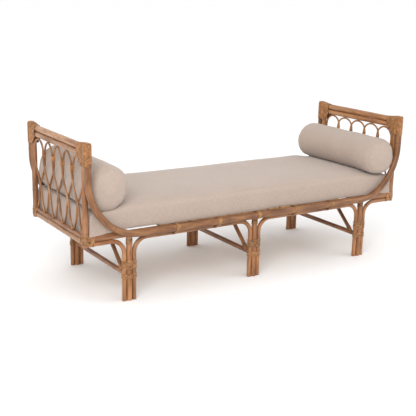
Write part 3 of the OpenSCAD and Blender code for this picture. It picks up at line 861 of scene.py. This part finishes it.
def make_top_corner_bindings():
    """Basketwork round the head of each corner: coils, a diagonal weave on both faces and a cap."""
    shape, chance = Shape(), random.Random("top corner bindings")
    low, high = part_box("top_corner_bindings")
    top = high.z
    foot_z = low.z - 0.010
    inner_y = frame_y - CORNER_REACH
    outer_y = bow_y + bow_radius
    groove_y = (bow_y + frame_y) / 2
    rail_top = top_rail.centre[2] + top_rail.radius + CANE_THICKNESS
    rounding = CORNER_ROUNDING
    poles = ((bow_x, bow_y, bow_radius), (post_x, frame_y, post.radius))
    corners = [(frame_y - 0.013, foot_z), (outer_y, foot_z), (outer_y, top - 0.010),
               (outer_y - 0.008, top - 0.002), (bow_y - 0.01, top - 0.002), (inner_y, rail_top - 0.002),
               (inner_y, second_rail.centre[2] - second_rail.radius)]
    middle = np.array([(outer_y + inner_y) / 2, (foot_z + top) / 2])
    over_top = [(y, 0.0) for y in np.arange(inner_y + 0.003, outer_y - rounding, CAP_STEP)]
    over_top += [(outer_y + rounding * (math.sin(t) - 1), t) for t in np.radians((12, 28, 44, 60, 76, 88))]

    def cap_height(y):
        """Height of the top of the corner, which slopes down to the upper rail."""
        return rail_top + (top - rail_top) * smooth_step(inner_y, bow_y - 0.004, y)

    def half_depth(y, z):
        """Half of the corner's thickness: a lobe round each pole, rounded at the outer side and the top."""
        past = np.clip(y - bow_y, 0, bow_radius * 0.985)
        lobe = np.sqrt(bow_radius ** 2 - past ** 2)
        lobe = lobe - 0.0028 * np.exp(-((y - groove_y) / 0.007) ** 2)
        lobe = lobe - 0.0012 * smooth_step(frame_y - 0.005, frame_y - 0.018, y)
        above = np.clip((z - cap_height(y) + rounding) / rounding, 0, 0.985)
        return lobe - rounding * (1 - np.sqrt(1 - above ** 2))

    def weave(end, side, slope, k):
        """One diagonal strip on each face, over and under those that it crosses."""
        direction = unit(np.array([1.0, slope]))
        start = middle + np.array([-direction[1], direction[0]]) * k * WEAVE_STEP
        stretch = clipped(start, direction, corners)
        if stretch is None:
            return
        share = np.linspace(*stretch, 20)
        line = start + share[:, None] * direction
        rise = np.sin(share / WEAVE_STEP * math.pi + (k + slope) * math.pi / 2) * slope * 0.0005
        depth = half_depth(line[:, 0], line[:, 1]) + CANE_THICKNESS + rise
        tilt = np.clip(line[:, 0] - bow_y, 0, bow_radius) / bow_radius
        flat = np.sqrt(1 - (tilt * 0.98) ** 2)
        for face in (-1, 1):
            path = np.stack([end * bow_x + face * depth, side * line[:, 0], line[:, 1]], axis=1)
            outward = np.stack([face * flat, side * tilt, np.zeros(20)], axis=1)
            add_strip(shape, path, unit(outward), WEAVE_WIDTH, WEAVE_THICKNESS, chance)

    def cap(end, side, y, lean):
        """One strip over the top at y, which leans outwards over the rounded outer side."""
        base = cap_height(y) - rounding
        reach = half_depth(y, base) + CANE_THICKNESS
        rise = rounding * math.cos(lean)
        angles = np.linspace(-0.15, math.pi + 0.15, 26)
        x = reach * np.sign(np.cos(angles)) * abs(np.cos(angles)) ** 0.85
        z = base + (rise - 0.0006) * np.sign(np.sin(angles)) * abs(np.sin(angles)) ** 0.95
        path = np.stack([end * bow_x + x, np.full(26, side * y), z], axis=1)
        outward = np.cross(np.array([0, 1.0, 0]), unit(np.gradient(path, axis=0)))
        outward *= np.sign(outward[13, 2]) * math.cos(lean)
        outward[:, 1] = side * math.sin(lean)
        add_strip(shape, path, unit(outward), CAP_WIDTH, WEAVE_THICKNESS, chance)

    for end in (-1, 1):
        for side in (-1, 1):
            circles = [(end * x, side * y, r) for x, y, r in poles]
            wind(shape, strap(circles, CANE_GAP), ALONG_Z, MIDDLE, foot_z, top - 0.012, chance)
            circles = [(rail.centre[2], end * post_x, rail.radius) for rail in (top_rail, second_rail)]
            stretch = span(side, frame_y - post.radius + 0.001, inner_y)
            wind(shape, strap(circles, CANE_GAP), ALONG_Y, MIDDLE, *stretch, chance)
            for slope in (-1, 1):
                for k in range(-16, 17):
                    weave(end, side, slope, k)
            for y, lean in over_top:
                cap(end, side, y, lean)
    binding(shape, "top_corner_bindings", CANE_BROWN)


# ---- Slats ----

SLAT_BAY = leg_x / 3
slat_low, slat_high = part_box("slats")


def rounded_section(width, thickness, radius, steps=3):
    """Outline of a flat board with rounded edges, anticlockwise."""
    points = []
    for corner in range(4):
        x = (width / 2 - radius) * (1, -1, -1, 1)[corner]
        y = (thickness / 2 - radius) * (1, 1, -1, -1)[corner]
        for k in range(steps + 1):
            angle = (corner + k / steps) * math.pi / 2
            points.append((x + radius * math.cos(angle), y + radius * math.sin(angle)))
    return np.array(points)


def make_slats():
    """Flat slats across the seat rails: three in each bay, and the ones at the legs and the ends."""
    shape, chance = Shape(), random.Random("slats")
    places = [bay * SLAT_BAY + k * SLAT_STEP for bay in (-1.5, -0.5, 0.5, 1.5) for k in (-1, 0, 1)]
    places += [sign * x for x in END_SLATS_X for sign in (-1, 1)]
    section = rounded_section(SLAT_WIDTH, SLAT_THICKNESS, SLAT_ROUNDING)[::-1]
    z = slat_high.z - SLAT_THICKNESS / 2
    stations = np.linspace(slat_low.y, slat_high.y, 24)
    for x in sorted(places):
        rings = np.array([[(x + a, y, z + b) for a, b in section] for y in stations])
        grain = (rings - (x, 0, 0))[..., [0, 2, 1]] + [chance.uniform(0, 9) for _ in range(3)]
        shape.skin(rings, grain, 0.0, chance.random())
    shape.piece("slats", [WOOD], "frame", "slat_wood", "slats")


# ---- Cushions ----


CLOTH_FRAMES = 20
CLOTH_STIFFNESS = 15
CLOTH_REACH = 0.006


def settle(piece, pressure, pinned):
    """Blows a piece up as cloth, and keeps each point within CLOTH_REACH of where it began."""
    mesh = piece.data
    rest = np.empty(len(mesh.vertices) * 3, np.float32)
    mesh.vertices.foreach_get("co", rest)
    rest = rest.reshape(-1, 3).astype(float)
    cloth = piece.modifiers.new("cloth", "CLOTH")
    settings = cloth.settings
    settings.quality = 6
    settings.mass = 0.25
    settings.tension_stiffness = CLOTH_STIFFNESS
    settings.compression_stiffness = CLOTH_STIFFNESS
    settings.shear_stiffness = CLOTH_STIFFNESS / 3
    settings.bending_stiffness = 0.4
    settings.use_pressure = True
    settings.uniform_pressure_force = pressure
    settings.effector_weights.gravity = 0
    if len(pinned):
        group = piece.vertex_groups.new(name="held")
        group.add([int(k) for k in pinned], 1.0, "REPLACE")
        settings.vertex_group_mass = "held"
    cloth.point_cache.frame_start = 1
    cloth.point_cache.frame_end = CLOTH_FRAMES
    scene = bpy.context.scene
    for frame_number in range(1, CLOTH_FRAMES + 1):
        scene.frame_set(frame_number)
    blown = piece.evaluated_get(bpy.context.evaluated_depsgraph_get()).to_mesh()
    after = np.empty(len(blown.vertices) * 3, np.float32)
    blown.vertices.foreach_get("co", after)
    moved = after.reshape(-1, 3).astype(float) - rest
    piece.modifiers.remove(cloth)
    piece.vertex_groups.clear()
    scene.frame_set(1)
    reach = np.linalg.norm(moved, axis=1, keepdims=True)
    moved *= CLOTH_REACH * np.tanh(reach / CLOTH_REACH) / np.maximum(reach, 1e-9)
    return rest + moved


def cushion(name, points, faces, grain, shade, pressure, shape_after, pinned=()):
    """A cushion piece: cloth blown up, shaped afterwards, and subdivided once."""
    mesh = bpy.data.meshes.new(name)
    mesh.from_pydata(points.tolist(), [], faces)
    mesh.materials.append(LINEN)
    set_attribute(mesh, "grain", "CORNER", grain)
    set_attribute(mesh, "shade", "POINT", shade)
    mesh.polygons.foreach_set("use_smooth", [True] * len(faces))
    made = bpy.data.objects.new(name, mesh)
    bpy.context.scene.collection.objects.link(made)
    places = points
    places = settle(made, pressure, pinned)
    places = shape_after(places)
    mesh.vertices.foreach_set("co", places.astype(np.float32).ravel())
    mesh.update()
    made.modifiers.new("smooth", "SUBSURF").levels = 1
    made.modifiers["smooth"].render_levels = 1
    smooth = bpy.data.meshes.new_from_object(made.evaluated_get(bpy.context.evaluated_depsgraph_get()))
    made.modifiers.clear()
    made.data = smooth
    smooth.name = name
    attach(made, name)
    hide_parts(name + "_cover", name + "_core")
    return made


def ripple(points, size, seed):
    """Smooth noise from -1 to 1 at each point."""
    shift = Vector((seed * 7.3, seed * 3.1, seed * 1.7))
    return np.array([noise.noise(Vector(p) / size + shift) for p in points])


BOLSTER_OVER = 0.016
BOLSTER_SHOULDER = {"left": 0.056, "right": 0.045}
BOLSTER_DOME = 0.010
BOLSTER_SEGMENTS = 80
GATHERS = 5.5
GATHER_DEPTH = 0.0035
SEAM_DEPTH = 0.0008
FOLD_DEPTH = 0.005
SLUMP_DEPTH = 0.010


def bolster_profile(radius, half, round_by):
    """Radius and place of each ring, from the middle of one end to the middle of the other."""
    flat = radius - round_by
    disc = [(flat * share, half - BOLSTER_DOME * share ** 2) for share in np.linspace(0, 1, 8)[1:]]
    turn = np.linspace(90, 0, 9)[1:]
    middle = half - BOLSTER_DOME - round_by
    shoulder = [(flat + round_by * math.cos(math.radians(a)),
                 middle + round_by * math.sin(math.radians(a))) for a in turn]
    straight = [(radius, y) for y in np.linspace(middle, 0, 28)[1:]]
    far = disc + shoulder + straight
    return [(r, -y) for r, y in far] + [(r, y) for r, y in reversed(far[:-1])]


def make_bolster(end):
    """A roll with gathered round ends, pressed flat where it lies on the mattress."""
    low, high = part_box(end + "_bolster_cover")
    centre = (np.array(low) + np.array(high)) / 2
    radius = (high.x - low.x) / 2
    half = (high.y - low.y) / 2 + BOLSTER_OVER
    profile = bolster_profile(radius, half, BOLSTER_SHOULDER[end])
    segments = BOLSTER_SEGMENTS
    angles = np.arange(segments) * 2 * math.pi / segments
    points = [centre + (0, -half, 0)]
    for r, y in profile:
        for a in angles:
            points.append(centre + (r * math.sin(a), y, r * math.cos(a)))
    points.append(centre + (0, half, 0))
    points = np.array(points)
    last = len(points) - 1
    faces, grain = [], []

    def cloth(ring_index, segment, on_end=True):
        """Fabric coordinate: flat across the ends, rolled out along the body."""
        r, y = profile[ring_index]
        turn = segment * 2 * math.pi / segments
        if on_end:
            return (r * math.sin(turn), r * math.cos(turn), 0.3 * math.copysign(1, y))
        return (turn * radius, y, 0.0)

    for k in range(segments):
        n = (k + 1) % segments
        faces.append((0, 1 + n, 1 + k))
        grain += [(0, 0, -0.3), cloth(0, k + 1), cloth(0, k)]
    for i in range(len(profile) - 1):
        here, there = 1 + i * segments, 1 + (i + 1) * segments
        on_end = min(profile[i][0], profile[i + 1][0]) < radius * 0.86
        for k in range(segments):
            n = (k + 1) % segments
            faces.append((here + k, here + n, there + n, there + k))
            for ring_index, segment in ((i, k), (i, k + 1), (i + 1, k + 1), (i + 1, k)):
                grain.append(cloth(ring_index, segment, on_end))
    base = 1 + (len(profile) - 1) * segments
    for k in range(segments):
        n = (k + 1) % segments
        faces.append((last, base + k, base + n))
        grain += [(0, 0, 0.3), cloth(len(profile) - 1, k), cloth(len(profile) - 1, k + 1)]

    ring_radius = np.array([0] + [r for r, _ in profile for _ in range(segments)] + [0])
    ring_place = np.array([-half] + [y for _, y in profile for _ in range(segments)] + [half])
    turn = np.array([0] + [a for _ in profile for a in angles] + [0])
    from_seam = np.abs(np.abs(ring_place) - (half - BOLSTER_DOME - BOLSTER_SHOULDER[end] * 0.30))
    on_seam = np.exp(-(from_seam / 0.0035) ** 2) * (ring_radius > radius * 0.8)
    seed = 3 if end == "left" else 8
    contact = BOLSTER_REST[end] + BOLSTER_PRESS

    def noise_round(where):
        """Noise at each point, looked up where its turn round the roll and its place along it say."""
        return np.array([noise.noise(Vector(where(a, y))) for a, y in zip(turn, ring_place)])

    def shape_after(places):
        out = places - centre
        out[:, 2] *= np.where(out[:, 2] < 0, BOLSTER_SINK[end], 1)
        out[:, 0] *= 1.02
        places = centre + out + BOLSTER_SHIFT[end]
        body_out = unit(np.stack([out[:, 0], np.zeros(len(out)), out[:, 2]], axis=1) + 1e-9)
        gathers = noise_round(lambda a, y: (GATHERS * math.cos(a), GATHERS * math.sin(a),
                                            seed + math.copysign(2, y)))
        fade = np.exp(-from_seam / 0.045) * (ring_radius > radius * 0.35)
        places = places + body_out * (gathers * fade * GATHER_DEPTH - on_seam * SEAM_DEPTH)[:, None]
        soft = ripple(places, 0.13, seed) * 0.0024 + ripple(places, 0.045, seed + 1) * 0.0008
        folds = noise_round(lambda a, y: (y / 0.055, seed, 0.4 * math.cos(a)))
        outer = np.clip(out[:, 0] * ENDS[end] / radius, 0, 1)
        slump = outer * np.clip(-out[:, 2] / radius, 0, 1) * 2
        places = places + body_out * (soft + folds * outer * FOLD_DEPTH + slump * SLUMP_DEPTH)[:, None]
        depth = contact - places[:, 2]
        below = depth > 0
        places[below, 2] = contact - BOLSTER_PRESS * np.tanh(depth[below] / BOLSTER_PRESS)
        return places

    # The shade value is painted shade along the seams
    return cushion(end + "_bolster", points, faces, grain, 0.14 * on_seam, 5.0, shape_after)


def grid_places(half, edge, step):
    """Places from -half to half: close together over the rounded edge, then in even steps."""
    rounding = edge * (1 - np.cos(np.radians(np.linspace(0, 90, 6))))
    inner = np.linspace(-(half - edge), half - edge, max(3, round(2 * (half - edge) / step)))
    return np.concatenate([-half + rounding[:-1], inner, (half - rounding[:-1])[::-1]])


def slab(half, edge):
    """A box with rounded edges: points, faces, cloth coordinates, and which points are on its seams."""
    steps = (GRID_STEP, GRID_STEP, GRID_STEP_UP)
    axes = [grid_places(reach, edge, step) for reach, step in zip(half, steps)]
    last = [len(places) - 1 for places in axes]
    index, points, faces, grain = {}, [], [], []
    for axis in range(3):
        first, second = [other for other in range(3) if other != axis]
        for far in (0, last[axis]):
            for i in range(last[first]):
                for j in range(last[second]):
                    cell = [(i, j), (i + 1, j), (i + 1, j + 1), (i, j + 1)]
                    if (far > 0) == (axis == 1):
                        cell.reverse()
                    for a, b in cell:
                        key = [far, far, far]
                        key[first], key[second] = a, b
                        if tuple(key) not in index:
                            index[tuple(key)] = len(points)
                            points.append([axes[k][key[k]] for k in range(3)])
                        grain.append((axes[first][a], axes[second][b], 0.5 * axis))
                        faces.append(index[tuple(key)])
    points = np.array(points)
    core = half - edge
    inner = np.clip(points, -core, core)
    offset = points - inner
    flat_side = np.abs(offset).max(axis=1) < 1e-9
    points = np.where(flat_side[:, None], points, inner + unit(offset + 1e-12) * edge)
    on_face = [np.isin(np.array(list(index))[:, k], (0, last[k])) for k in range(3)]
    seam = (on_face[0] | on_face[1]) & on_face[2]
    return points, [tuple(faces[k:k + 4]) for k in range(0, len(faces), 4)], grain, seam


def sewn(points, half, edge):
    """The slab with a tight lower edge, square ends, and a top that falls towards the ends."""
    core = half - edge
    tighter = BOTTOM_EDGE / edge
    beside = (np.abs(points[:, :2]) > core[:2] - 1e-6) & (points[:, 2:] < -core[2] + 1e-6)
    for axis in (0, 1):
        near = beside[:, axis]
        inward = (half[axis] - np.abs(points[near, axis])) * tighter
        points[near, axis] = np.sign(points[near, axis]) * (half[axis] - inward)
    near = beside.any(axis=1)
    points[near, 2] = -half[2] + (points[near, 2] + half[2]) * tighter
    away = np.abs(points[:, :2])
    squarer = END_SQUARENESS * smooth_step(core[0] - 0.08, core[0], away[:, 0])
    for axis in (0, 1):
        past = np.maximum(away[:, axis] - core[axis], 0)
        missing = np.where(past > 0, edge - past, 0)
        points[:, axis] += np.sign(points[:, axis]) * missing * squarer * smooth_step(0, 0.008, past)
    slope_share = np.clip((np.abs(points[:, 0]) - MATTRESS_CROWN_X) / (core[0] - MATTRESS_CROWN_X), 0, 1)
    upper = np.clip(points[:, 2] / half[2] * 0.5 + 0.5, 0, 1)
    points[:, 2] -= MATTRESS_END_DROP * slope_share * upper
    return points


def make_mattress(bolsters):
    """A soft slab with rounded edges, lower at its ends and pressed in under the bolsters."""
    low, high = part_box("mattress_cover")
    over = np.array([*MATTRESS_OVER, 0.0])
    low, high = np.array(low) - over, np.array(high) + over
    high[2] -= 0.003
    centre = (low + high) / 2
    half = (high - low) / 2
    points, faces, grain, seam = slab(half, TOP_EDGE)
    points = sewn(points, half, TOP_EDGE) + centre
    pinned = np.nonzero(points[:, 2] < low[2] + 0.002)[0]

    def crumple(places, share_x, share_y, top):
        """A crown and long waves on top, folds and puffed corners at the ends."""
        side = 1 - top
        out_x, out_y = np.sign(share_x), np.sign(share_y)
        crown = (1 - np.clip(np.abs(share_y), 0, 1) ** 3) * (1 - np.clip(np.abs(share_x), 0, 1) ** 8)
        places[:, 2] += top * crown * TOP_CROWN
        places[:, 2] += top * (ripple(places, 0.22, 5) * 0.0022 + ripple(places, 0.07, 6) * 0.0005)
        places[:, 1] += side * out_y * (np.abs(share_y) > 0.9) * ripple(places, 0.16, 9) * SIDE_WAVE
        folds = ripple(places * (0.2, 1, 0.25), 0.05, 4)
        at_end = smooth_step(0.955, 0.985, np.abs(share_x))
        places[:, 0] += side * out_x * at_end * folds * END_FOLD
        at_corner = side * at_end * smooth_step(0.86, 0.97, np.abs(share_y))
        places[:, 0] += out_x * at_corner * CORNER_PUFF
        places[:, 1] += out_y * at_corner * CORNER_PUFF
        waves = ripple(places * (0, 1, 0), 0.06, 2) * END_WAVE + END_RISE
        places[:, 2] += smooth_step(0.90, 0.98, np.abs(share_x)) * top * waves

    def hem_drop(places, share_y):
        """How far the hem sags between the slats: all round, but for the gap at the front left."""
        in_gap = smooth_step(GAP_FROM_X - 0.03, GAP_FROM_X, places[:, 0])
        in_gap *= 1 - smooth_step(GAP_TO_X - 0.02, GAP_TO_X + 0.02, places[:, 0])
        edge_share = smooth_step(half[1] - 0.009, half[1] - 0.002, np.abs(places[:, 1] - centre[1]))
        end_share = smooth_step(half[0] - 0.016, half[0] - 0.006, np.abs(places[:, 0] - centre[0]))
        end_share *= smooth_step(0.278, 0.262, np.abs(places[:, 1])) * END_SAG / EDGE_SAG
        lowest = 1 - smooth_step(low[2] + 0.004, low[2] + 0.035, places[:, 2])
        return EDGE_SAG * (np.maximum(edge_share, end_share) * lowest * (1 - in_gap * (share_y < 0)))

    def press(places, share_y, top, bolster):
        """Dents the top under a bolster, and keeps it below the bolster's own surface."""
        box_x = np.mean([v.co.x for v in bolster.data.vertices]) + bolster.matrix_world.translation.x
        dent = np.exp(-((places[:, 0] - box_x) / 0.075) ** 2) * smooth_step(1.02, 0.80, np.abs(share_y))
        places[:, 2] -= top * dent * DENT
        tree = BVHTree.FromObject(bolster, bpy.context.evaluated_depsgraph_get())
        for k in np.nonzero((top > 0.5) & (np.abs(places[:, 0] - box_x) < 0.10))[0]:
            hit = tree.ray_cast(Vector((places[k, 0], places[k, 1], low[2])), Vector((0, 0, 1)))[0]
            if hit is not None:
                places[k, 2] = min(places[k, 2], hit.z - 0.0010)

    def shape_after(places):
        share_x = (places[:, 0] - centre[0]) / half[0]
        share_y = (places[:, 1] - centre[1]) / half[1]
        top = smooth_step(centre[2], high[2] - 0.01, places[:, 2])
        crumple(places, share_x, share_y, top)
        drop = hem_drop(places, share_y)
        places[:, 2] -= drop
        inward = unit(centre - places)
        places[seam] += inward[seam] * 0.0018
        for bolster in bolsters:
            press(places, share_y, top, bolster)
        places[:, 2] = np.maximum(places[:, 2], low[2] - drop)
        return places

    # The shade value is painted shade along the seams
    return cushion("mattress", points, faces, grain, np.where(seam, 0.22, 0.0), 3.0, shape_after, pinned)


# ---- Stage ----


FLOOR_REACH = 200
SURROUND = 1.03
# Lamps: name, place, size and watts
LAMPS = (("key", (-3.2, -3.6, 3.2), 2.6, 132), ("fill", (3.6, -2.6, 2.6), 3.0, 30))


def make_stage():
    """A pale floor, a white surround and soft studio lamps."""
    floor = bpy.data.meshes.new("floor")
    corners = [(x * FLOOR_REACH, y * FLOOR_REACH, 0) for x, y in ((-1, -1), (1, -1), (1, 1), (-1, 1))]
    floor.from_pydata(corners, [], [(0, 1, 2, 3)])
    surface = Surface("floor", Roughness=0.9, Specular_IOR_Level=0.1)
    surface.shader.inputs["Base Color"].default_value = (0.97, 0.97, 0.97, 1)
    floor.materials.append(surface.material)
    placed = bpy.data.objects.new("floor", floor)
    bpy.context.scene.collection.objects.link(placed)
    world = bpy.data.worlds.new("surround")
    world.use_nodes = True
    world.node_tree.nodes["Background"].inputs["Color"].default_value = (1, 1, 1, 1)
    world.node_tree.nodes["Background"].inputs["Strength"].default_value = SURROUND
    bpy.context.scene.world = world
    for name, place, size, energy in LAMPS:
        lamp = bpy.data.lights.new(name, "AREA")
        lamp.size = size
        lamp.energy = energy
        placed = bpy.data.objects.new(name, lamp)
        placed.location = place
        placed.rotation_euler = (Vector((0, 0, 0.4)) - Vector(place)).to_track_quat("-Z", "Y").to_euler()
        bpy.context.scene.collection.objects.link(placed)


def make_camera(place, yaw, pitch, roll, lens):
    """A camera at place: yaw from +Y towards +X, pitch downwards, roll as its right side lifts."""
    yaw, pitch, roll = (math.radians(a) for a in (yaw, pitch, roll))
    forward = Vector((math.sin(yaw) * math.cos(pitch), math.cos(yaw) * math.cos(pitch), -math.sin(pitch)))
    level = Vector((math.cos(yaw), -math.sin(yaw), 0))
    above = level.cross(forward)
    right = level * math.cos(roll) + above * math.sin(roll)
    up = above * math.cos(roll) - level * math.sin(roll)
    data = bpy.data.cameras.new("camera")
    data.sensor_width = 36
    data.lens = lens
    placed = bpy.data.objects.new("camera", data)
    turn = Matrix((right, up, -forward)).transposed().to_4x4()
    placed.matrix_world = Matrix.Translation(place) @ turn
    bpy.context.scene.collection.objects.link(placed)
    bpy.context.scene.camera = placed


make_bows()
make_straight_poles()
make_brackets()
make_braces()
make_arches()
make_leg_bindings()
make_side_bindings()
make_arch_bindings()
make_stretcher_bindings()
make_bottom_corner_bindings()
make_top_corner_bindings()
make_slats()
make_mattress([make_bolster("left"), make_bolster("right")])
make_stage()
make_camera((-2.390, -3.577, 1.422), yaw=32.75, pitch=14.83, roll=1.33, lens=73.1)
bpy.context.scene.view_settings.view_transform = "Standard"
